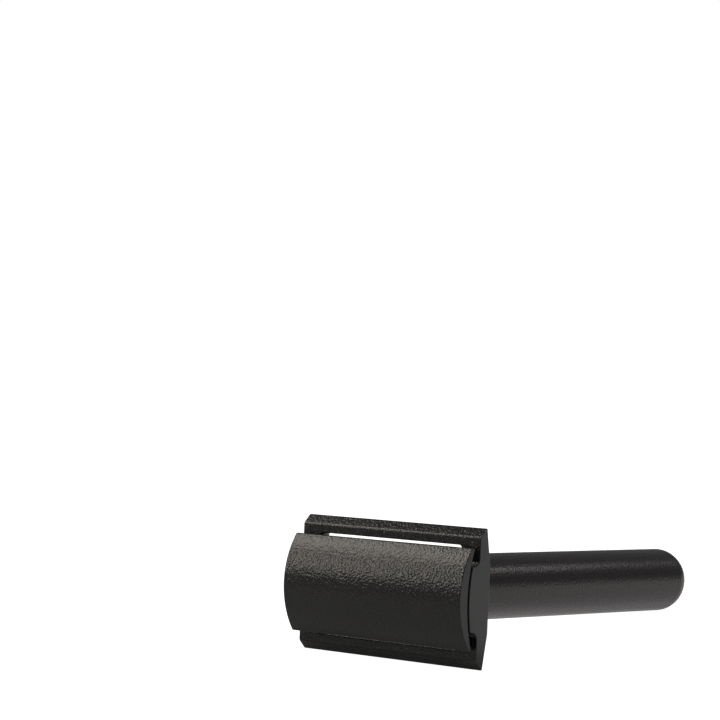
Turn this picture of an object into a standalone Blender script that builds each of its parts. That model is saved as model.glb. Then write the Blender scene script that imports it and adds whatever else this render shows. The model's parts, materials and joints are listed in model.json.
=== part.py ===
"""Three-piece double-edge safety razor, lying on its lower guard bar and its handle.

Units are metres. Every piece is modelled in the head frame: X runs along the blade, Y across
it, and Z along the handle's axis towards the cap, with Z = 0 on the base plate's flat underside.
The empty razor_frame lays the razor down, so that in the world +Z is up, the handle points
along +Y and the origin lies on the floor under the middle of the razor.
"""
import math

import bmesh
import bpy
from mathutils import Vector

MM = 0.001

# Base plate: section across the blade
PLATE_LENGTH = 43.6 * MM
BAR_HALF_WIDTH = 12.8 * MM
SHELF_HEIGHT = 3.05 * MM
UNDERSIDE_EDGE = (6.25 * MM, 0)
BAR_BACK = (BAR_HALF_WIDTH, 1.15 * MM)
BAR_NOSE = (BAR_HALF_WIDTH, 1.5 * MM)
BAR_FRONT = (11.2 * MM, SHELF_HEIGHT)
BED_HALF_WIDTH = 5.95 * MM
BED_CROWN = 5.6 * MM
BED_RADIUS = 28.2 * MM
BAR_BACK_RADIUS = 0.2 * MM
BAR_NOSE_RADIUS = 0.4 * MM
BAR_FRONT_RADIUS = 0.7 * MM
BED_FOOT_RADIUS = 1.4 * MM

# Lather slots through the shelf
SLOT_HALF_LENGTH = 17.45 * MM
SLOT_INNER = 7.4 * MM
SLOT_OUTER = 9.55 * MM
SLOT_CORNER_RADIUS = 0.8 * MM

# Top cap: a circular arc above, an arc concentric with the bed below
CAP_LENGTH = 43.4 * MM
CAP_HALF_WIDTH = 9.25 * MM
CAP_EDGE_HEIGHT = 5.15 * MM
CAP_CROWN = 8.15 * MM
CAP_UNDERSIDE_GAP = 0.3 * MM

# Locating pins
PIN_SPACING = 25.0 * MM
PIN_RADIUS = 1.2 * MM
PIN_TOP = 7.2 * MM
PIN_TIP = 1.2 * MM
PIN_CHAMFER = 0.3 * MM
PIN_HOLE_RADIUS = 1.45 * MM

# Threaded stud, M5 x 0.8
THREAD_PITCH = 0.8 * MM
THREAD_RADIUS = 2.5 * MM
THREAD_DEPTH = 0.43 * MM
THREAD_CREST = THREAD_PITCH / 8
THREAD_ROOT = THREAD_PITCH / 4
THREAD_CLEARANCE = 0.1 * MM
STUD_TOP = 7.2 * MM
STUD_THREAD_TOP = 2.0 * MM
STUD_TIP = -8.3 * MM
STUD_CHAMFER = 0.4 * MM
STUD_HOLE_RADIUS = 2.85 * MM

# Handle and its thread insert
HANDLE_TOP = -0.25 * MM
HANDLE_END = -87.0 * MM
HANDLE_RADIUS = 6.4 * MM
HANDLE_END_RADIUS = 5.0 * MM
NECK_RADIUS = 4.9 * MM
NECK_END = -13.0 * MM
HANDLE_TOP_CHAMFER = 0.3 * MM
INSERT_RADIUS = 3.5 * MM
INSERT_TOP = -0.6 * MM
INSERT_BOTTOM = -9.6 * MM
INSERT_CHAMFER = 0.3 * MM
TAP_ROOM_RADIUS = 2.8 * MM
TAP_ROOM_BOTTOM = -11.8 * MM
TAP_CONE_BOTTOM = -13.2 * MM

# Clearances and tessellation
PRESS_GAP = 0.05 * MM
POCKET_ROOM = 0.1 * MM
THROUGH = 1.0 * MM
ARC_STEPS = 20
FILLET_STEPS = 3
FRONT_STEPS = 5
FOOT_STEPS = 6
TURNED_SEGMENTS = 48
BORE_SEGMENTS = 24
THREAD_SEGMENTS = 24
MERGE_DISTANCE = 0.001 * MM

# Materials: colour, roughness, metallic
BLACK_ALUMINIUM = ("black_aluminium", (0.022, 0.021, 0.020), 0.48, 1.0)
BLACK_HANDLE = ("black_handle", (0.025, 0.023, 0.024), 0.42, 1.0)
STUD_STEEL = ("stud_steel", (0.42, 0.42, 0.43), 0.28, 1.0)
PIN_STEEL = ("pin_steel", (0.45, 0.45, 0.46), 0.25, 1.0)
INSERT_BRASS = ("insert_brass", (0.62, 0.46, 0.2), 0.32, 1.0)


def arc(centre, radius, start, end, steps):
    """Points of an arc in a plane; start and end are angles in radians."""
    points = []
    for index in range(steps + 1):
        angle = start + (end - start) * index / steps
        points.append((centre[0] + radius * math.cos(angle), centre[1] + radius * math.sin(angle)))
    return points


def towards(start, end):
    return (Vector(end) - Vector(start)).normalized()


def fillet_centre(before, corner, after, radius):
    """Centre of the arc that rounds a corner between two straight sides."""
    to_before = towards(corner, before)
    to_after = towards(corner, after)
    half_angle = to_before.angle(to_after) / 2
    return Vector(corner) + (to_before + to_after).normalized() * (radius / math.sin(half_angle))


def fillet(before, corner, after, radius, steps=FILLET_STEPS):
    """Points of the arc that rounds a corner between two straight sides."""
    centre = fillet_centre(before, corner, after, radius)
    corner = Vector(corner)
    spokes = []
    for end in (before, after):
        side = towards(corner, end)
        spokes.append(corner + side * (centre - corner).dot(side) - centre)
    first, last = spokes
    turn = first.angle_signed(last)
    points = []
    for index in range(steps + 1):
        angle = -turn * index / steps
        x = first.x * math.cos(angle) - first.y * math.sin(angle)
        y = first.x * math.sin(angle) + first.y * math.cos(angle)
        points.append((centre.x + x, centre.y + y))
    return points


def clear_scene():
    for old in list(bpy.data.objects):
        bpy.data.objects.remove(old, do_unlink=True)


def metal(finish):
    name, colour, roughness, metallic = finish
    material = bpy.data.materials.new(name)
    material.use_nodes = True
    shader = material.node_tree.nodes["Principled BSDF"]
    shader.inputs["Base Color"].default_value = (*colour, 1.0)
    shader.inputs["Roughness"].default_value = roughness
    shader.inputs["Metallic"].default_value = metallic
    material.diffuse_color = (*colour, 1.0)
    return material


def add_object(name, shape, parent):
    """Turn a bmesh into an object of its own, in the head frame."""
    bmesh.ops.recalc_face_normals(shape, faces=shape.faces)
    mesh = bpy.data.meshes.new(name)
    shape.to_mesh(mesh)
    shape.free()
    piece = bpy.data.objects.new(name, mesh)
    piece.parent = parent
    bpy.context.collection.objects.link(piece)
    return piece


def finish_piece(piece, finish, sharp_angle=30):
    piece.data.materials.append(metal(finish))
    piece.data.shade_smooth()
    piece.data.set_sharp_from_angle(angle=math.radians(sharp_angle))
    return piece


def as_cutter(piece):
    piece.hide_render = True
    piece.display_type = "WIRE"
    return piece


def cut(piece, cutter, operation="DIFFERENCE"):
    boolean = piece.modifiers.new(cutter.name, "BOOLEAN")
    boolean.object = cutter
    boolean.operation = operation
    boolean.solver = "EXACT"


def bar(outline, half_length):
    """A solid of constant (Y, Z) section along X."""
    shape = bmesh.new()
    section = [shape.verts.new((-half_length, y, z)) for y, z in outline]
    face = shape.faces.new(section)
    grown = bmesh.ops.extrude_face_region(shape, geom=[face])
    moved = [item for item in grown["geom"] if isinstance(item, bmesh.types.BMVert)]
    bmesh.ops.translate(shape, verts=moved, vec=(2 * half_length, 0, 0))
    return shape


def slab(outline, low, high):
    """A solid of constant (X, Y) outline between two heights."""
    shape = bmesh.new()
    face = shape.faces.new([shape.verts.new((x, y, low)) for x, y in outline])
    grown = bmesh.ops.extrude_face_region(shape, geom=[face])
    moved = [item for item in grown["geom"] if isinstance(item, bmesh.types.BMVert)]
    bmesh.ops.translate(shape, verts=moved, vec=(0, 0, high - low))
    return shape


def turned(outline, segments):
    """A solid turned about Z from a (radius, Z) outline that starts and ends on the axis."""
    shape = bmesh.new()
    points = [shape.verts.new((radius, 0, z)) for radius, z in outline]
    edges = [shape.edges.new(pair) for pair in zip(points, points[1:])]
    bmesh.ops.spin(shape, geom=points + edges, cent=(0, 0, 0), axis=(0, 0, 1), dvec=(0, 0, 0),
                   angle=2 * math.pi, steps=segments, use_merge=True)
    bmesh.ops.remove_doubles(shape, verts=shape.verts, dist=MERGE_DISTANCE)
    return shape


def pin_outline(radius, low, high, low_chamfer=0.0, high_chamfer=0.0):
    outline = [(0, low), (radius - low_chamfer, low)]
    if low_chamfer:
        outline.append((radius, low + low_chamfer))
    if high_chamfer:
        outline.append((radius, high - high_chamfer))
    outline += [(radius - high_chamfer, high), (0, high)]
    return outline


def round_cutter(name, parent, x, radius, low, high):
    shape = turned(pin_outline(radius, low, high), BORE_SEGMENTS)
    bmesh.ops.translate(shape, verts=shape.verts, vec=(x, 0, 0))
    return as_cutter(add_object(name, shape, parent))


def rounded_box(left, right, bottom, top, radius):
    corners = [(right, bottom), (right, top), (left, top), (left, bottom)]
    outline = []
    for index, corner in enumerate(corners):
        before = corners[index - 1]
        after = corners[(index + 1) % len(corners)]
        outline += fillet(before, corner, after, radius)
    return outline


def thread_form(radius, low, high):
    """A right-hand threaded rod about Z, longer than low to high, with ramped ends.

    The surface is one strip that winds up the rod. Its rows follow the helix, so the row at a
    full turn is the row one pitch higher at the start.
    """
    flank = (THREAD_PITCH - THREAD_CREST - THREAD_ROOT) / 2
    steps = [
        (0.0, radius),
        (THREAD_CREST, radius),
        (THREAD_CREST + flank, radius - THREAD_DEPTH),
        (THREAD_CREST + flank + THREAD_ROOT, radius - THREAD_DEPTH),
    ]
    first_turn = math.floor(low / THREAD_PITCH) - 2
    last_turn = math.ceil(high / THREAD_PITCH) + 1
    rows = [(turn * THREAD_PITCH + rise, r) for turn in range(first_turn, last_turn) for rise, r in steps]
    shape = bmesh.new()
    columns = []
    for column in range(THREAD_SEGMENTS):
        angle = 2 * math.pi * column / THREAD_SEGMENTS
        lift = THREAD_PITCH * column / THREAD_SEGMENTS
        across = (math.cos(angle), math.sin(angle))
        columns.append([shape.verts.new((r * across[0], r * across[1], z + lift)) for z, r in rows])
    columns.append(columns[0][len(steps):])
    row_count = len(rows) - len(steps)
    for left, right in zip(columns, columns[1:]):
        for row in range(row_count - 1):
            shape.faces.new((left[row], right[row], right[row + 1], left[row + 1]))
    for row in (0, row_count - 1):
        rim = [column[row] for column in columns]
        rim += [columns[0][index] for index in range(row + len(steps) - 1, row, -1)]
        centre = shape.verts.new((0, 0, sum(vert.co.z for vert in rim) / len(rim)))
        for here, there in zip(rim, rim[1:] + rim[:1]):
            shape.faces.new((here, there, centre))
    return shape


def bed_arc_centre():
    return BED_CROWN - BED_RADIUS


def base_plate_outline():
    bed_half_angle = math.asin(BED_HALF_WIDTH / BED_RADIUS)
    bed_foot = (BED_HALF_WIDTH, SHELF_HEIGHT)
    bed_top = (BED_HALF_WIDTH, bed_arc_centre() + BED_RADIUS * math.cos(bed_half_angle))
    half = [UNDERSIDE_EDGE]
    half += fillet(UNDERSIDE_EDGE, BAR_BACK, BAR_NOSE, BAR_BACK_RADIUS)
    half += fillet(BAR_BACK, BAR_NOSE, BAR_FRONT, BAR_NOSE_RADIUS)
    half += fillet(BAR_NOSE, BAR_FRONT, bed_foot, BAR_FRONT_RADIUS, FRONT_STEPS)
    half += fillet(BAR_FRONT, bed_foot, bed_top, BED_FOOT_RADIUS, FOOT_STEPS)
    upright = math.pi / 2
    bed = arc((0, bed_arc_centre()), BED_RADIUS, upright - bed_half_angle, upright + bed_half_angle,
              ARC_STEPS)
    return half + bed + [(-y, z) for y, z in reversed(half)]


def make_base_plate(parent):
    plate = add_object("base_plate", bar(base_plate_outline(), PLATE_LENGTH / 2), parent)
    for side, place in ((1, "upper"), (-1, "lower")):
        inner, outer = sorted((side * SLOT_INNER, side * SLOT_OUTER))
        outline = rounded_box(-SLOT_HALF_LENGTH, SLOT_HALF_LENGTH, inner, outer, SLOT_CORNER_RADIUS)
        slot = slab(outline, -THROUGH, SHELF_HEIGHT + THROUGH)
        cut(plate, as_cutter(add_object(f"slot_cutter_{place}", slot, parent)))
    holes = {
        "stud_hole_cutter": (0, STUD_HOLE_RADIUS),
        "pin_hole_cutter_left": (-PIN_SPACING / 2, PIN_HOLE_RADIUS),
        "pin_hole_cutter_right": (PIN_SPACING / 2, PIN_HOLE_RADIUS),
    }
    for name, (x, radius) in holes.items():
        cut(plate, round_cutter(name, parent, x, radius, -THROUGH, BED_CROWN + THROUGH))
    return finish_piece(plate, BLACK_ALUMINIUM)


def cap_outline():
    rise = CAP_CROWN - CAP_EDGE_HEIGHT
    outer_radius = (CAP_HALF_WIDTH ** 2 + rise ** 2) / (2 * rise)
    outer_half_angle = math.asin(CAP_HALF_WIDTH / outer_radius)
    inner_radius = BED_RADIUS + CAP_UNDERSIDE_GAP
    inner_half_angle = math.asin(CAP_HALF_WIDTH / inner_radius)
    upright = math.pi / 2
    outer = arc((0, CAP_CROWN - outer_radius), outer_radius,
                upright - outer_half_angle, upright + outer_half_angle, ARC_STEPS)
    inner = arc((0, bed_arc_centre()), inner_radius,
                upright + inner_half_angle, upright - inner_half_angle, ARC_STEPS)
    return outer + inner


def make_top_cap(parent):
    cap = add_object("top_cap", bar(cap_outline(), CAP_LENGTH / 2), parent)
    pockets = {
        "stud_pocket_cutter": (0, THREAD_RADIUS, STUD_TOP),
        "pin_pocket_cutter_left": (-PIN_SPACING / 2, PIN_RADIUS, PIN_TOP),
        "pin_pocket_cutter_right": (PIN_SPACING / 2, PIN_RADIUS, PIN_TOP),
    }
    for name, (x, radius, top) in pockets.items():
        cutter = round_cutter(name, parent, x, radius + PRESS_GAP, SHELF_HEIGHT, top + POCKET_ROOM)
        cut(cap, cutter)
    return finish_piece(cap, BLACK_ALUMINIUM)


def make_locating_pins(parent):
    outline = pin_outline(PIN_RADIUS, PIN_TIP, PIN_TOP, low_chamfer=PIN_CHAMFER)
    for side, place in ((-1, "left"), (1, "right")):
        pin = add_object(f"locating_pin_{place}", turned(outline, BORE_SEGMENTS), parent)
        pin.location = (side * PIN_SPACING / 2, 0, 0)
        finish_piece(pin, PIN_STEEL)


def make_threaded_stud(parent):
    """The plain upper end sits in the cap; the thread below it is trimmed to a pointed rod."""
    stud = add_object("threaded_stud", thread_form(THREAD_RADIUS, STUD_TIP, STUD_THREAD_TOP), parent)
    envelope = turned(pin_outline(THREAD_RADIUS + PRESS_GAP, STUD_TIP, STUD_THREAD_TOP, STUD_CHAMFER),
                      BORE_SEGMENTS)
    cut(stud, as_cutter(add_object("stud_envelope", envelope, parent)), "INTERSECT")
    shank = turned(pin_outline(THREAD_RADIUS, STUD_THREAD_TOP - THREAD_PITCH / 2, STUD_TOP),
                   BORE_SEGMENTS)
    cut(stud, as_cutter(add_object("stud_shank", shank, parent)), "UNION")
    return finish_piece(stud, STUD_STEEL)


def make_thread_insert(parent):
    outline = pin_outline(INSERT_RADIUS, INSERT_BOTTOM, INSERT_TOP, INSERT_CHAMFER, INSERT_CHAMFER)
    insert = add_object("thread_insert", turned(outline, TURNED_SEGMENTS), parent)
    female = thread_form(THREAD_RADIUS + THREAD_CLEARANCE, INSERT_BOTTOM, INSERT_TOP)
    cut(insert, as_cutter(add_object("insert_thread_cutter", female, parent)))
    return finish_piece(insert, INSERT_BRASS)


def handle_outline():
    bore_radius = INSERT_RADIUS + PRESS_GAP
    end_arc = arc((HANDLE_RADIUS - HANDLE_END_RADIUS, HANDLE_END + HANDLE_END_RADIUS),
                  HANDLE_END_RADIUS, 0, -math.pi / 2, ARC_STEPS // 2)
    outline = [
        (0, TAP_CONE_BOTTOM),
        (TAP_ROOM_RADIUS, TAP_ROOM_BOTTOM),
        (TAP_ROOM_RADIUS, INSERT_BOTTOM - POCKET_ROOM),
        (bore_radius, INSERT_BOTTOM - POCKET_ROOM),
        (bore_radius, HANDLE_TOP),
        (NECK_RADIUS - HANDLE_TOP_CHAMFER, HANDLE_TOP),
        (NECK_RADIUS, HANDLE_TOP - HANDLE_TOP_CHAMFER),
        (HANDLE_RADIUS, NECK_END),
    ]
    return outline + end_arc + [(0, HANDLE_END)]


def make_handle(parent):
    handle = add_object("handle", turned(handle_outline(), TURNED_SEGMENTS), parent)
    return finish_piece(handle, BLACK_HANDLE)


def resting_tilt():
    """Angle between the handle's axis and the floor, with the lower bar and the handle's end down.

    The floor touches two arcs: the bar's rounded back edge and the handle's rounded end.
    """
    bar_arc = fillet_centre(UNDERSIDE_EDGE, BAR_BACK, BAR_NOSE, BAR_BACK_RADIUS)
    reach = bar_arc.y - HANDLE_END - HANDLE_END_RADIUS
    drop = bar_arc.x - (HANDLE_RADIUS - HANDLE_END_RADIUS)
    distance = math.hypot(reach, drop)
    return math.atan2(drop, reach) - math.asin((HANDLE_END_RADIUS - BAR_BACK_RADIUS) / distance)


def make_frame():
    """Lay the head frame down, with the floor at Z = 0 and the razor centred over the origin."""
    tilt = resting_tilt()
    rise = CAP_CROWN - CAP_EDGE_HEIGHT
    cap_radius = (CAP_HALF_WIDTH ** 2 + rise ** 2) / (2 * rise)
    front = -(math.cos(tilt) * (CAP_CROWN - cap_radius) + cap_radius)
    back = math.sin(tilt) * (HANDLE_RADIUS - HANDLE_END_RADIUS) + HANDLE_END_RADIUS
    back -= math.cos(tilt) * (HANDLE_END + HANDLE_END_RADIUS)
    bar_arc = fillet_centre(UNDERSIDE_EDGE, BAR_BACK, BAR_NOSE, BAR_BACK_RADIUS)
    height = BAR_BACK_RADIUS + math.cos(tilt) * bar_arc.x - math.sin(tilt) * bar_arc.y
    frame = bpy.data.objects.new("razor_frame", None)
    frame.rotation_euler = (math.pi / 2 - tilt, 0, 0)
    frame.location = (0, -(front + back) / 2, height)
    bpy.context.collection.objects.link(frame)
    return frame


def main():
    clear_scene()
    frame = make_frame()
    make_top_cap(frame)
    make_threaded_stud(frame)
    make_locating_pins(frame)
    make_base_plate(frame)
    make_handle(frame)
    make_thread_insert(frame)


main()
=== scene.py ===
import json
import math

import bmesh
import bpy
from mathutils import Matrix, Vector


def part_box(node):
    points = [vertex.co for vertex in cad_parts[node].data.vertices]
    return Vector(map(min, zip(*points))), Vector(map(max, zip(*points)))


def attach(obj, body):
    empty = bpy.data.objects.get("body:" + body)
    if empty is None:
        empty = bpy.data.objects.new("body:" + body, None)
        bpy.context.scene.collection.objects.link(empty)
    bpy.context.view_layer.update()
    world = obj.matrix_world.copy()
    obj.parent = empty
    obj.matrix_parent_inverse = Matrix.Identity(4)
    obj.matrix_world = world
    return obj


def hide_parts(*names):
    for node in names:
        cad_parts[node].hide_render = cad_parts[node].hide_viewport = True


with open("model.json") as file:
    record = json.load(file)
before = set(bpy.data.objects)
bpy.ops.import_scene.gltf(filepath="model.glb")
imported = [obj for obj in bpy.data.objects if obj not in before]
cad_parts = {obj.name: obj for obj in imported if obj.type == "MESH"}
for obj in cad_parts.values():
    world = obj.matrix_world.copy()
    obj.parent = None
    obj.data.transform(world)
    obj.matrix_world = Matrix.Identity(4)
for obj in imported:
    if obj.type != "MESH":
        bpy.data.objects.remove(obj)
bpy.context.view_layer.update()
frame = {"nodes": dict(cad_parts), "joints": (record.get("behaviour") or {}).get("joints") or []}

MM = 0.001

# Head frame, from the axis that the handle turns on
turn = next(joint for joint in frame["joints"] if joint["name"] == "handle_turn")
HEAD_X = Vector((1, 0, 0))
HEAD_Z = -Vector(turn["axis"]).normalized()
HEAD_Y = HEAD_Z.cross(HEAD_X)
HEAD_TURN = Matrix((HEAD_X, HEAD_Y, HEAD_Z)).transposed().to_4x4()
HEAD = Matrix.Translation(turn["pos_m"]) @ HEAD_TURN

# Lengths along the head, from the frame
PLATE_HALF_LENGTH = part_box("base_plate")[1].x
CAP_HALF_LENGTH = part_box("top_cap")[1].x
PIN_PLACE = (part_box("locating_pin_right")[0].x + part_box("locating_pin_right")[1].x) / 2

# Base plate section: corners, each with the radius that rounds it
UNDERSIDE_EDGE = (6.25 * MM, 0)
BAR_BACK = (12.8 * MM, 1.15 * MM)
BAR_NOSE = (12.8 * MM, 1.5 * MM)
BAR_FRONT = (11.2 * MM, 3.05 * MM)
BAR_BACK_RADIUS = 0.2 * MM
BAR_NOSE_RADIUS = 0.4 * MM
BAR_FRONT_RADIUS = 0.7 * MM
BED_FOOT_RADIUS = 1.4 * MM
BED_HALF_WIDTH = 5.95 * MM
BED_CROWN = 5.6 * MM
BED_RADIUS = 28.2 * MM
BED_AXIS = BED_CROWN - BED_RADIUS
SLOT_HALF_LENGTH = 17.45 * MM
SLOT_SIDES = (7.4 * MM, 9.55 * MM)
SLOT_CORNER = 0.8 * MM
STUD_HOLE_RADIUS = 2.85 * MM
PIN_HOLE_RADIUS = 1.45 * MM

# Cap section: an arc above, an arc concentric with the bed below, and a narrow lip between them
CAP_HALF_WIDTH = 9.25 * MM
CAP_EDGE_HEIGHT = 5.15 * MM
CAP_CROWN = 8.15 * MM
CAP_RISE = CAP_CROWN - CAP_EDGE_HEIGHT
CAP_OUTER_RADIUS = (CAP_HALF_WIDTH ** 2 + CAP_RISE ** 2) / (2 * CAP_RISE)
CAP_INNER_RADIUS = BED_RADIUS + 0.3 * MM
CAP_END_EDGE = 0.14 * MM
LIP_LENGTH = 0.4 * MM
LIP_OUTER_CORNER = 0.35 * MM
LIP_INNER_CORNER = 0.18 * MM

# Stud, pins and handle, whose smooth end stops 0.02 mm short so that it stays inside the faceted one
PITCH = 0.8 * MM
THREAD_RADIUS = 2.5 * MM
THREAD_DEPTH = 0.43 * MM
STUD_ENDS = (-8.3 * MM, 7.2 * MM)
STUD_THREAD_TOP = 2.0 * MM
STUD_CHAMFER = 0.4 * MM
STUD_SEGMENTS = 64
PIN_RADIUS = 1.2 * MM
PIN_ENDS = (1.2 * MM, 7.2 * MM)
PIN_TIP_RADIUS = 0.5 * MM
HANDLE_TOP = -0.1 * MM
HANDLE_END = -86.98 * MM
HANDLE_RADIUS = 6.4 * MM
HANDLE_END_RADIUS = 5.0 * MM
NECK_RADIUS = 4.9 * MM
NECK_END = -13.0 * MM
BORE_RADIUS = 3.55 * MM
BORE_BOTTOM = -9.7 * MM
HANDLE_CHAMFER = 0.3 * MM
HANDLE_RIM_RADIUS = 0.1 * MM
NECK_BLEND_RADIUS = 4 * MM

FINE_EDGE = 0.16 * MM
UPRIGHT = math.pi / 2

# Finish
WHITE = (1, 1, 1)
HEAD_BLACK = (0.0105, 0.0102, 0.0098)
HANDLE_BLACK = (0.0110, 0.0098, 0.0098)
HANDLE_GLOSS = (1, 0.88, 0.87)
FLECK_GREY = (0.085, 0.083, 0.08)
WORN_GREY = (0.14, 0.138, 0.135)
STEEL = (0.55, 0.55, 0.56)
GROUND_STEEL = (0.58, 0.58, 0.6)
BRASS = (0.68, 0.5, 0.22)
PEBBLE_SIZE = 0.42 * MM
FLECK_SIZE = MM / 2.75
CLOUD_SIZE = 7 * MM
WEAR_SIZE = 0.8 * MM
WORN_EDGE = 0.14 * MM
LINES_ROUND_Z = (0.1, 0.1, 1)
LINES_ALONG_Z = (1, 1, 0.1)

# Stage: pairs of a place and the strength of the light there, along Y for the floor's glow and along
# TO_BACK_RIGHT, from -1 to 1, for the room
GLOW_START = (-45 * MM, 0.04)
GLOW_END = (-10 * MM, 0.42)
ROOM_FRONT = (-0.8, 0.17)
ROOM_BACK = (0.9, 0.15)
TO_BACK_RIGHT = (0.6, 0.8, 0)
WARM = (1, 0.94, 0.85)
LAMP_DISTANCE = 0.9
LENS = 131.03
CAMERA_PLACE = (0.31952, -0.40474, 0.07619)
HEADING_PITCH_ROLL = (41.9615, -2.4412, -0.4881)


def arc(centre, radius, start, end, steps):
    """Points of an arc; start and end are angles in radians."""
    angles = [start + (end - start) * index / steps for index in range(steps + 1)]
    return [(centre[0] + radius * math.cos(a), centre[1] + radius * math.sin(a)) for a in angles]


def fillet(before, corner, after, radius, steps=5):
    """The arc that rounds the corner between two straight sides."""
    corner = Vector(corner)
    to_before = (Vector(before) - corner).normalized()
    to_after = (Vector(after) - corner).normalized()
    half_angle = to_before.angle(to_after) / 2
    centre = corner + (to_before + to_after).normalized() * (radius / math.sin(half_angle))
    first = corner + to_before * (radius / math.tan(half_angle)) - centre
    last = corner + to_after * (radius / math.tan(half_angle)) - centre
    turned_by = -first.angle_signed(last)
    points = []
    for index in range(steps + 1):
        spoke = Matrix.Rotation(turned_by * index / steps, 2) @ first
        points.append((centre.x + spoke.x, centre.y + spoke.y))
    return points


def shade(colour, factor):
    return tuple(factor * channel for channel in colour)


def grey(level):
    return (level, level, level)


def rounded_box(half_length, low, high, radius):
    corners = [(half_length, low), (half_length, high), (-half_length, high), (-half_length, low)]
    outline = []
    for index, corner in enumerate(corners):
        outline += fillet(corners[index - 1], corner, corners[(index + 1) % 4], radius, 6)
    return outline


def prism(outline, low, high, place):
    """A closed solid between two copies of an outline; place puts (a, b, height) in space."""
    shape = bmesh.new()
    rims = [[shape.verts.new(place(a, b, level)) for a, b in outline] for level in (low, high)]
    shape.faces.new(rims[0])
    shape.faces.new(rims[1])
    for index in range(len(outline)):
        after = (index + 1) % len(outline)
        shape.faces.new((rims[0][index], rims[0][after], rims[1][after], rims[1][index]))
    return shape


def along_x(y, z, x):
    return (x, y, z)


def along_z(x, y, z):
    return (x, y, z)


def turned_solid(outline, segments):
    """A closed solid turned about Z from a (radius, Z) outline whose ends are on the axis."""
    shape = bmesh.new()
    points = [shape.verts.new((radius, 0, z)) for radius, z in outline]
    edges = [shape.edges.new(pair) for pair in zip(points, points[1:])]
    bmesh.ops.spin(shape, geom=points + edges, cent=(0, 0, 0), axis=(0, 0, 1), dvec=(0, 0, 0),
                   angle=2 * math.pi, steps=segments, use_merge=True)
    bmesh.ops.remove_doubles(shape, verts=shape.verts, dist=0.0005 * MM)
    return shape


def new_object(name, shape):
    bmesh.ops.recalc_face_normals(shape, faces=shape.faces)
    mesh = bpy.data.meshes.new(name)
    shape.to_mesh(mesh)
    shape.free()
    made = bpy.data.objects.new(name, mesh)
    bpy.context.scene.collection.objects.link(made)
    return made


def apply_modifiers(made):
    bpy.context.view_layer.update()
    graph = bpy.context.evaluated_depsgraph_get()
    made.data = bpy.data.meshes.new_from_object(made.evaluated_get(graph), depsgraph=graph)
    made.modifiers.clear()


def carve(made, tools, operation="DIFFERENCE"):
    """Cut the tools out of a piece, one after the other, and throw the tools away."""
    for tool in tools:
        boolean = made.modifiers.new(tool.name, "BOOLEAN")
        boolean.object = tool
        boolean.operation = operation
        boolean.solver = "EXACT"
    apply_modifiers(made)
    for tool in tools:
        bpy.data.objects.remove(tool, do_unlink=True)
    return made


def keep_faces_flat(made, weight):
    weighted = made.modifiers.new("flat_faces", "WEIGHTED_NORMAL")
    weighted.keep_sharp = True
    weighted.weight = weight


def soften(made, width):
    """Break the sharp edges, and keep the flat faces flat in their shading."""
    bevel = made.modifiers.new("edge_break", "BEVEL")
    bevel.width = width
    bevel.segments = 3
    bevel.limit_method = "ANGLE"
    bevel.angle_limit = math.radians(38)
    bevel.use_clamp_overlap = False
    apply_modifiers(made)
    made.data.shade_smooth()
    keep_faces_flat(made, 80)


def smooth(made, angle):
    made.data.shade_smooth()
    made.data.set_sharp_from_angle(angle=math.radians(angle))
    return made


def finish_with(made, material):
    made.data.materials.clear()
    made.data.materials.append(material)


def settle(made, body, material, node):
    """Put a piece made in the head frame in its place, on its body, with its finish."""
    made.data.transform(HEAD)
    finish_with(made, material)
    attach(made, body)
    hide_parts(node)


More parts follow.
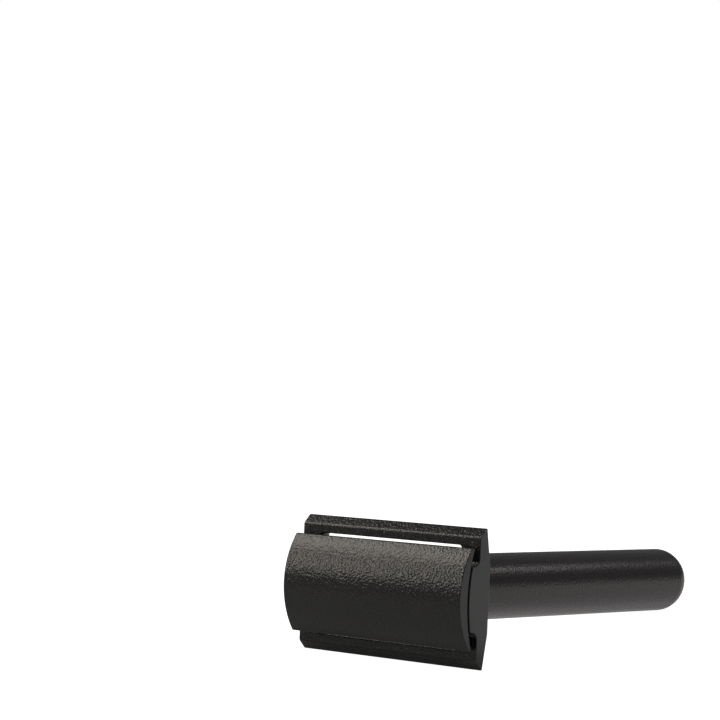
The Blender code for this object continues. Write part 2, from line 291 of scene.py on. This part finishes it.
class Shader:
    """A Principled material with short helpers for its procedural nodes."""

    def __init__(self, name, roughness, metallic, specular=0.5):
        self.material = bpy.data.materials.new(name)
        self.material.use_nodes = True
        self.nodes = self.material.node_tree.nodes
        self.links = self.material.node_tree.links
        self.surface = self.nodes["Principled BSDF"]
        self.surface.inputs["Roughness"].default_value = roughness
        self.surface.inputs["Metallic"].default_value = metallic
        self.surface.inputs["Specular IOR Level"].default_value = specular
        self.places = self.head_places()

    def head_places(self):
        """Coordinates in the head frame, in metres."""
        source = self.nodes.new("ShaderNodeTexCoord")
        mapping = self.nodes.new("ShaderNodeMapping")
        mapping.vector_type = "TEXTURE"
        mapping.inputs["Location"].default_value = HEAD.to_translation()
        mapping.inputs["Rotation"].default_value = HEAD.to_euler()
        self.links.new(source.outputs["Object"], mapping.inputs["Vector"])
        return mapping.outputs["Vector"]

    def stretched(self, scale):
        mapping = self.nodes.new("ShaderNodeMapping")
        mapping.inputs["Scale"].default_value = scale
        self.links.new(self.places, mapping.inputs["Vector"])
        return mapping.outputs["Vector"]

    def noise(self, size, detail=2.0, stretch=(1, 1, 1), roughness=0.5):
        """Noise with features of about that size, in metres."""
        node = self.nodes.new("ShaderNodeTexNoise")
        node.inputs["Scale"].default_value = 1 / size
        node.inputs["Detail"].default_value = detail
        node.inputs["Roughness"].default_value = roughness
        self.links.new(self.stretched(stretch), node.inputs["Vector"])
        return node.outputs["Fac"]

    def ramp(self, value, low, high, low_at=0.3, high_at=0.7):
        """A value or colour that goes from low to high as the input goes between two levels."""
        node = self.nodes.new("ShaderNodeValToRGB")
        for element, place, colour in zip(node.color_ramp.elements, (low_at, high_at), (low, high)):
            element.position = place
            element.color = (*colour, 1) if hasattr(colour, "__len__") else (*grey(colour), 1)
        self.links.new(value, node.inputs["Fac"])
        return node.outputs["Color"]

    def mix(self, factor, first, second):
        node = self.nodes.new("ShaderNodeMix")
        node.data_type = "RGBA"
        for value, name in ((factor, "Factor"), (first, "A"), (second, "B")):
            socket = next(s for s in node.inputs if s.name == name and s.enabled)
            if isinstance(value, bpy.types.NodeSocket):
                self.links.new(value, socket)
            else:
                socket.default_value = value if name == "Factor" else (*value, 1)
        return next(s for s in node.outputs if s.enabled)

    def math(self, operation, first, second):
        node = self.nodes.new("ShaderNodeMath")
        node.operation = operation
        for value, socket in zip((first, second), node.inputs):
            if isinstance(value, bpy.types.NodeSocket):
                self.links.new(value, socket)
            else:
                socket.default_value = value
        return node.outputs["Value"]

    def bump(self, height, distance, strength):
        node = self.nodes.new("ShaderNodeBump")
        node.inputs["Distance"].default_value = distance
        node.inputs["Strength"].default_value = strength
        self.links.new(height, node.inputs["Height"])
        return node.outputs["Normal"]

    def edges(self, radius):
        """1 on edges rounded tighter than the radius, 0 on flat faces."""
        bevel = self.nodes.new("ShaderNodeBevel")
        bevel.samples = 6
        bevel.inputs["Radius"].default_value = radius
        geometry = self.nodes.new("ShaderNodeNewGeometry")
        dot = self.nodes.new("ShaderNodeVectorMath")
        dot.operation = "DOT_PRODUCT"
        self.links.new(bevel.outputs["Normal"], dot.inputs[0])
        self.links.new(geometry.outputs["Normal"], dot.inputs[1])
        return self.ramp(dot.outputs["Value"], 1.0, 0.0, 0.86, 0.985)

    def ends(self):
        """1 on faces square to X, 0 elsewhere."""
        geometry = self.nodes.new("ShaderNodeNewGeometry")
        across = self.nodes.new("ShaderNodeSeparateXYZ")
        self.links.new(geometry.outputs["True Normal"], across.inputs["Vector"])
        return self.ramp(self.math("ABSOLUTE", across.outputs["X"], 0), 0.0, 1.0, 0.9, 0.97)

    def connect(self, value, socket):
        self.links.new(value, self.surface.inputs[socket])


def blasted_black(name, tint, gloss_tint, depth, roughness, painted_end_light=None):
    """Black anodised aluminium, blasted with fine beads, with flecks that shine a little more.

    Faces square to X are sawn and plain, without pebbles or flecks. Their colour is the tint times the end
    factor, which paints light or shade on these faces: above 1 it is painted light, below 1 painted shade.
    It is left out for a piece that has no such faces.
    """
    shader = Shader(name, roughness, metallic=0.0)
    shader.surface.inputs["Specular Tint"].default_value = (*gloss_tint, 1)
    pebbles = shader.noise(PEBBLE_SIZE, detail=1.6, roughness=0.45)
    clouds = shader.noise(CLOUD_SIZE, detail=3.0, roughness=0.6)
    flecks = shader.ramp(shader.noise(FLECK_SIZE, detail=1.0), 0.0, 0.12, 0.42, 0.72)
    body = shader.mix(shader.ramp(clouds, 0.0, 0.5), tint, shade(tint, 1.4))
    body = shader.mix(flecks, body, FLECK_GREY)
    height = pebbles
    if painted_end_light is not None:
        ends = shader.ends()
        # Painted light or shade on the end faces: their tint is scaled by the end factor
        body = shader.mix(ends, body, shade(tint, painted_end_light))
        height = shader.mix(ends, pebbles, grey(0.5))
        flecks = shader.mix(ends, flecks, grey(0))
    wear = shader.ramp(shader.noise(WEAR_SIZE), 0.2, 1.0, 0.4, 0.6)
    worn = shader.math("MULTIPLY", shader.edges(WORN_EDGE), wear)
    shader.connect(shader.mix(worn, body, WORN_GREY), "Base Color")
    shader.connect(shader.mix(worn, flecks, WHITE), "Metallic")
    rough = shader.ramp(pebbles, roughness + 0.06, roughness - 0.06)
    rough = shader.mix(shader.ramp(clouds, 0.0, 0.6), rough, grey(roughness + 0.03))
    shader.connect(shader.mix(worn, rough, grey(roughness - 0.08)), "Roughness")
    shader.connect(shader.bump(height, depth, 1.0), "Normal")
    return shader.material


def metal_lines(name, colour, roughness, stretch, line_size):
    """Bare metal with the fine lines of rolling, grinding or turning."""
    shader = Shader(name, roughness, metallic=1.0)
    lines = shader.noise(line_size, stretch=stretch)
    patches = shader.ramp(shader.noise(4 * MM), 0.0, 0.3)
    tone = shader.mix(shader.ramp(lines, 0.0, 1.0), shade(colour, 0.82), colour)
    shader.connect(shader.mix(patches, tone, shade(colour, 0.7)), "Base Color")
    shader.connect(shader.ramp(lines, roughness + 0.1, roughness - 0.06), "Roughness")
    shader.connect(shader.bump(lines, 0.004 * MM, 0.4), "Normal")
    return shader.material


def plate_outline():
    bed_half_angle = math.asin(BED_HALF_WIDTH / BED_RADIUS)
    bed_foot = (BED_HALF_WIDTH, BAR_FRONT[1])
    bed_top = (BED_HALF_WIDTH, BED_AXIS + BED_RADIUS * math.cos(bed_half_angle))
    half = [UNDERSIDE_EDGE]
    half += fillet(UNDERSIDE_EDGE, BAR_BACK, BAR_NOSE, BAR_BACK_RADIUS)
    half += fillet(BAR_BACK, BAR_NOSE, BAR_FRONT, BAR_NOSE_RADIUS)
    half += fillet(BAR_NOSE, BAR_FRONT, bed_foot, BAR_FRONT_RADIUS, 9)
    half += fillet(BAR_FRONT, bed_foot, bed_top, BED_FOOT_RADIUS, 12)
    bed = arc((0, BED_AXIS), BED_RADIUS, UPRIGHT - bed_half_angle, UPRIGHT + bed_half_angle, 24)
    return half + bed + [(-y, z) for y, z in reversed(half)]


def hole_tool(name, x, radius, low, high):
    outline = [(0, low), (radius, low), (radius, high), (0, high)]
    shape = turned_solid(outline, 48)
    bmesh.ops.translate(shape, verts=shape.verts, vec=(x, 0, 0))
    return new_object(name, shape)


def make_plate(material):
    outline = plate_outline()
    plate = new_object("guard_plate", prism(outline, -PLATE_HALF_LENGTH, PLATE_HALF_LENGTH, along_x))
    through = (-MM, BED_CROWN + MM)
    tools = []
    for side in (1, -1):
        low, high = sorted(side * edge for edge in SLOT_SIDES)
        slot = prism(rounded_box(SLOT_HALF_LENGTH, low, high, SLOT_CORNER), *through, along_z)
        tools.append(new_object(f"slot_tool_{side}", slot))
    tools.append(hole_tool("stud_hole_tool", 0, STUD_HOLE_RADIUS, *through))
    for side in (-1, 1):
        tools.append(hole_tool(f"pin_hole_tool_{side}", side * PIN_PLACE, PIN_HOLE_RADIUS, *through))
    soften(carve(plate, tools), FINE_EDGE)
    settle(plate, "plate", material, "base_plate")


def cap_section(inset):
    """The cap's section as a closed (Y, Z) outline, moved inwards by the inset all round."""
    side = CAP_HALF_WIDTH - inset
    arcs_end = side - LIP_LENGTH
    steps = 24

    def outer(y):
        return CAP_CROWN - CAP_OUTER_RADIUS + math.sqrt((CAP_OUTER_RADIUS - inset) ** 2 - y ** 2)

    def inner(y):
        return BED_AXIS + math.sqrt((CAP_INNER_RADIUS + inset) ** 2 - y ** 2)

    places = [arcs_end * index / steps for index in range(steps + 1)]
    heel = (side, inner(side))
    tip = (side, outer(side))
    half = [(y, inner(y)) for y in places]
    half += fillet(half[-1], heel, tip, LIP_INNER_CORNER - inset, 4)
    half += fillet(heel, tip, (arcs_end, outer(arcs_end)), LIP_OUTER_CORNER - inset, 6)
    half += [(y, outer(y)) for y in reversed(places)]
    return half + [(-y, z) for y, z in reversed(half[1:-1])]


def make_cap(material):
    """Rings along the head: the last few at each end shrink, which rounds the end's edge."""
    rings = []
    for index in range(5):
        angle = UPRIGHT * index / 4
        short_by = CAP_END_EDGE * (1 - math.sin(angle))
        rings.append((CAP_HALF_LENGTH - short_by, CAP_END_EDGE * (1 - math.cos(angle))))
    rings = [(-x, inset) for x, inset in reversed(rings)] + rings
    shape = bmesh.new()
    rims = [[shape.verts.new((x, y, z)) for y, z in cap_section(inset)] for x, inset in rings]
    for here, there in zip(rims, rims[1:]):
        for index in range(len(here)):
            after = (index + 1) % len(here)
            shape.faces.new((here[index], here[after], there[after], there[index]))
    shape.faces.new(rims[0])
    shape.faces.new(rims[-1])
    cap = smooth(new_object("domed_cap", shape), 40)
    keep_faces_flat(cap, 50)
    settle(cap, "cap", material, "top_cap")


def handle_outline():
    top = [(NECK_RADIUS - HANDLE_CHAMFER, HANDLE_TOP), (NECK_RADIUS, HANDLE_TOP - HANDLE_CHAMFER)]
    neck_foot = (HANDLE_RADIUS, NECK_END)
    end_centre = (HANDLE_RADIUS - HANDLE_END_RADIUS, HANDLE_END + HANDLE_END_RADIUS)
    outline = [(0, BORE_BOTTOM), (BORE_RADIUS, BORE_BOTTOM), (BORE_RADIUS, HANDLE_TOP)]
    outline += fillet(outline[-1], top[0], top[1], HANDLE_RIM_RADIUS, 3)
    outline += fillet(top[0], top[1], neck_foot, HANDLE_RIM_RADIUS, 3)
    outline += fillet(top[1], neck_foot, (HANDLE_RADIUS, HANDLE_END), NECK_BLEND_RADIUS, 5)
    outline += arc(end_centre, HANDLE_END_RADIUS, 0, -UPRIGHT, 28)
    return outline + [(0, HANDLE_END)]


def make_handle(material):
    handle = smooth(new_object("turned_handle", turned_solid(handle_outline(), 144)), 40)
    settle(handle, "handle", material, "handle")


def make_pins(material):
    low, high = PIN_ENDS
    tip_centre = (PIN_RADIUS - PIN_TIP_RADIUS, low + PIN_TIP_RADIUS)
    outline = [(0, low)]
    outline += arc(tip_centre, PIN_TIP_RADIUS, -UPRIGHT, 0, 8)
    outline += [(PIN_RADIUS, high), (0, high)]
    for side, place in ((-1, "left"), (1, "right")):
        shape = turned_solid(outline, 48)
        bmesh.ops.translate(shape, verts=shape.verts, vec=(side * PIN_PLACE, 0, 0))
        pin = smooth(new_object(f"dowel_pin_{place}", shape), 50)
        settle(pin, "cap", material, f"locating_pin_{place}")


def thread_solid(low, high):
    """A right-hand threaded rod, longer than low to high: one strip that winds round the axis."""
    crest = PITCH / 8
    root = PITCH / 4
    flank = (PITCH - crest - root) / 2
    deep = THREAD_RADIUS - THREAD_DEPTH
    form = [(0, THREAD_RADIUS), (crest, THREAD_RADIUS), (crest + flank, deep), (crest + flank + root, deep)]
    turns = range(math.floor(low / PITCH) - 2, math.ceil(high / PITCH) + 1)
    rows = [(turn_index * PITCH + rise, radius) for turn_index in turns for rise, radius in form]
    shape = bmesh.new()
    columns = []
    for column in range(STUD_SEGMENTS):
        angle = 2 * math.pi * column / STUD_SEGMENTS
        lift = PITCH * column / STUD_SEGMENTS
        columns.append([
            shape.verts.new((radius * math.cos(angle), radius * math.sin(angle), z + lift))
            for z, radius in rows
        ])
    columns.append(columns[0][len(form):])
    row_count = len(rows) - len(form)
    for left, right in zip(columns, columns[1:]):
        for row in range(row_count - 1):
            shape.faces.new((left[row], right[row], right[row + 1], left[row + 1]))
    for row in (0, row_count - 1):
        rim = [column[row] for column in columns]
        rim += [columns[0][index] for index in range(row + len(form) - 1, row, -1)]
        centre = shape.verts.new((0, 0, sum(vert.co.z for vert in rim) / len(rim)))
        for here, there in zip(rim, rim[1:] + rim[:1]):
            shape.faces.new((here, there, centre))
    return shape


def make_stud(material):
    tip, top = STUD_ENDS
    stud = new_object("thread_stud", thread_solid(tip, STUD_THREAD_TOP))
    wide = THREAD_RADIUS + 0.05 * MM
    envelope = [(0, tip), (wide - STUD_CHAMFER, tip), (wide, tip + STUD_CHAMFER)]
    envelope += [(wide, STUD_THREAD_TOP), (0, STUD_THREAD_TOP)]
    carve(stud, [new_object("stud_envelope", turned_solid(envelope, STUD_SEGMENTS))], "INTERSECT")
    shank_low = STUD_THREAD_TOP - PITCH / 2
    shank = [(0, shank_low), (THREAD_RADIUS, shank_low), (THREAD_RADIUS, top), (0, top)]
    carve(stud, [new_object("stud_shank", turned_solid(shank, STUD_SEGMENTS))], "UNION")
    settle(smooth(stud, 25), "cap", material, "threaded_stud")


def set_range(node, start, end):
    """Make a Map Range node go from one (input, output) pair to another."""
    node.inputs["From Min"].default_value, node.inputs["To Min"].default_value = start
    node.inputs["From Max"].default_value, node.inputs["To Max"].default_value = end


def make_floor():
    """A pale table top, plain white to the camera. To the razor it glows faintly, and more past its head."""
    shape = bmesh.new()
    bmesh.ops.create_grid(shape, x_segments=2, y_segments=2, size=6.0)
    floor = new_object("floor", shape)
    shader = Shader("pale_table", 0.8, metallic=0.0, specular=0.2)
    shader.connect(shader.ramp(shader.noise(60 * MM, detail=3.0), 0.6, 0.63), "Base Color")
    shader.surface.inputs["Emission Color"].default_value = (1, 1, 1, 1)
    depth = shader.nodes.new("ShaderNodeMapRange")
    depth.interpolation_type = "SMOOTHSTEP"
    set_range(depth, GLOW_START, GLOW_END)
    across = shader.nodes.new("ShaderNodeSeparateXYZ")
    shader.links.new(shader.nodes.new("ShaderNodeTexCoord").outputs["Object"], across.inputs["Vector"])
    shader.links.new(across.outputs["Y"], depth.inputs["Value"])
    camera_ray = shader.nodes.new("ShaderNodeLightPath").outputs["Is Camera Ray"]
    shader.connect(shader.math("MAXIMUM", camera_ray, depth.outputs["Result"]), "Emission Strength")
    finish_with(floor, shader.material)


def softbox(name, azimuth, elevation, size, radiance, colour=WHITE):
    """A rectangle of even light that faces the razor's head from a direction in degrees."""
    azimuth, elevation = math.radians(azimuth), math.radians(elevation)
    outward = Vector((math.cos(azimuth) * math.cos(elevation), math.sin(azimuth) * math.cos(elevation),
                      math.sin(elevation)))
    light = bpy.data.lights.new(name, "AREA")
    light.shape = "RECTANGLE"
    light.size, light.size_y = size
    light.energy = radiance * math.pi * size[0] * size[1]
    light.color = colour
    lamp = bpy.data.objects.new(name, light)
    lamp.location = HEAD.to_translation() + outward * LAMP_DISTANCE
    lamp.rotation_euler = outward.to_track_quat("Z", "Y").to_euler()
    bpy.context.scene.collection.objects.link(lamp)


def make_world():
    """White to the camera; to the razor a dim, almost even room, a little lighter at the front left."""
    world = bpy.data.worlds.new("studio")
    world.use_nodes = True
    nodes, links = world.node_tree.nodes, world.node_tree.links
    room = nodes["Background"]
    room.inputs["Color"].default_value = (1, 1, 1, 1)
    towards = nodes.new("ShaderNodeVectorMath")
    towards.operation = "DOT_PRODUCT"
    towards.inputs[1].default_value = TO_BACK_RIGHT
    links.new(nodes.new("ShaderNodeTexCoord").outputs["Generated"], towards.inputs[0])
    level = nodes.new("ShaderNodeMapRange")
    set_range(level, ROOM_FRONT, ROOM_BACK)
    links.new(towards.outputs["Value"], level.inputs["Value"])
    links.new(level.outputs["Result"], room.inputs["Strength"])
    backdrop = nodes.new("ShaderNodeBackground")
    backdrop.inputs["Color"].default_value = (1, 1, 1, 1)
    choose = nodes.new("ShaderNodeMixShader")
    links.new(nodes.new("ShaderNodeLightPath").outputs["Is Camera Ray"], choose.inputs["Fac"])
    links.new(room.outputs["Background"], choose.inputs[1])
    links.new(backdrop.outputs["Background"], choose.inputs[2])
    links.new(choose.outputs["Shader"], nodes["World Output"].inputs["Surface"])
    bpy.context.scene.world = world


def make_light():
    make_world()
    softbox("key_high", 206, 39.5, (0.5, 0.28), 3.4, WARM)
    softbox("key_low", 216, 19, (0.46, 0.16), 3.6, WARM)
    softbox("strip_back_right", 65, 32, (0.25, 0.12), 2.8)
    softbox("kicker_right", -5, 58, (0.12, 0.12), 45)


def make_camera():
    """The photograph's view of the razor: long lens, just above the floor, front right."""
    lens = bpy.data.cameras.new("camera")
    lens.lens = LENS
    lens.sensor_width = 36.0
    lens.clip_start = 0.01
    camera = bpy.data.objects.new("camera", lens)
    heading, pitch, roll = (math.radians(angle) for angle in HEADING_PITCH_ROLL)
    turn_to = Matrix.Rotation(heading, 4, "Z") @ Matrix.Rotation(UPRIGHT + pitch, 4, "X")
    turn_to = turn_to @ Matrix.Rotation(roll, 4, "Z")
    camera.matrix_world = Matrix.Translation(CAMERA_PLACE) @ turn_to
    bpy.context.scene.collection.objects.link(camera)
    bpy.context.scene.camera = camera


def make_razor():
    head = {"tint": HEAD_BLACK, "gloss_tint": WHITE, "depth": 0.1 * MM, "roughness": 0.16}
    # The cap's end faces get painted shade (0.4 of the tint), and the plate's end faces painted light (1.8
    # of it)
    make_cap(blasted_black("blasted_black_cap", painted_end_light=0.4, **head))
    make_plate(blasted_black("blasted_black_plate", painted_end_light=1.8, **head))
    make_handle(blasted_black("blasted_black_handle", HANDLE_BLACK, HANDLE_GLOSS, 0.06 * MM, 0.24))
    make_stud(metal_lines("rolled_stud_steel", STEEL, 0.28, LINES_ALONG_Z, 0.15 * MM))
    make_pins(metal_lines("ground_pin_steel", GROUND_STEEL, 0.25, LINES_ROUND_Z, 0.1 * MM))
    finish_with(frame["nodes"]["thread_insert"],
                metal_lines("turned_brass", BRASS, 0.32, LINES_ROUND_Z, 0.1 * MM))


make_razor()
make_floor()
make_light()
make_camera()
bpy.context.scene.view_settings.view_transform = "Standard"
